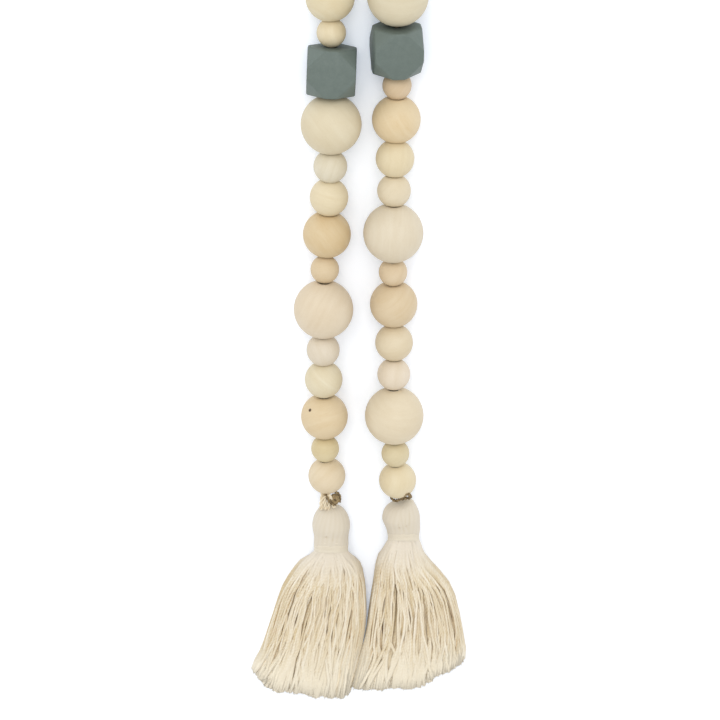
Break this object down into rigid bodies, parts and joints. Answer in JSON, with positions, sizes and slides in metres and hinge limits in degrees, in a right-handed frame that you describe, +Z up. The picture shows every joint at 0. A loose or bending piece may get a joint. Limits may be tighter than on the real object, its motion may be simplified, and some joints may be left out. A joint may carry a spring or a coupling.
{
  "type": "bead garland",
  "caption": "Strung garland of round pale wood beads in graded sizes and faceted painted beads, folded in half, with a cotton tassel tied at each end.",
  "frame": {"origin": "middle of the garland's outline as it lies, on the surface that it lies on", "axes": "+Y along the folded garland from the tassels to the closed loop, +Z up from the surface, +X to the right with the tassels nearest the viewer"},
  "size_m": [0.0954, 0.4748, 0.025],
  "materials": {
    "wood25": "unfinished pale wood, sanded and matte",
    "wood20": "unfinished warm wood, sanded and matte",
    "wood16": "unfinished pale wood, sanded and matte",
    "wood14": "unfinished pale wood, sanded and matte",
    "wood12": "unfinished tan wood, sanded and matte",
    "sage20": "wood painted matte sage green",
    "twine": "dark brown twisted jute twine",
    "cotton": "cream cotton yarn, matte",
    "cotton_thread": "cream cotton thread, wound flat"
  },
  "bodies": {
    "root": {"bead_01_wood16": "wood16", "bead_02_wood12": "wood12", "bead_03_wood20": "wood20", "bead_04_wood16": "wood16", "bead_05_wood14": "wood14", "bead_06_wood25": "wood25", "bead_07_wood12": "wood12", "bead_08_wood20": "wood20", "bead_09_wood16": "wood16", "bead_10_wood14": "wood14", "bead_11_wood25": "wood25", "bead_12_sage20": "sage20", "bead_13_wood12": "wood12", "bead_14_wood20": "wood20", "bead_15_wood16": "wood16", "bead_16_wood14": "wood14", "bead_17_wood25": "wood25", "bead_18_wood12": "wood12", "bead_19_wood20": "wood20", "bead_20_wood16": "wood16", "bead_21_wood14": "wood14", "bead_22_wood25": "wood25", "bead_23_sage20": "sage20", "bead_24_wood12": "wood12", "bead_25_wood20": "wood20", "bead_26_wood16": "wood16", "bead_27_wood14": "wood14", "bead_28_wood25": "wood25", "bead_29_wood12": "wood12", "bead_30_wood20": "wood20", "bead_31_wood16": "wood16", "bead_32_wood14": "wood14", "bead_33_wood25": "wood25", "bead_34_sage20": "sage20", "bead_35_wood12": "wood12", "bead_36_wood20": "wood20", "bead_37_wood16": "wood16", "bead_38_wood14": "wood14", "bead_39_wood25": "wood25", "bead_40_wood12": "wood12", "bead_41_wood20": "wood20", "bead_42_wood16": "wood16", "bead_43_wood14": "wood14", "bead_44_wood25": "wood25", "bead_45_wood12": "wood12", "bead_46_wood16": "wood16", "string": "twine", "knot_left": "twine", "knot_right": "twine", "tassel_left": "cotton", "tassel_right": "cotton", "binding_left": "cotton_thread", "binding_right": "cotton_thread", "hanging_loop": "cotton"}
  },
  "joints": []
}
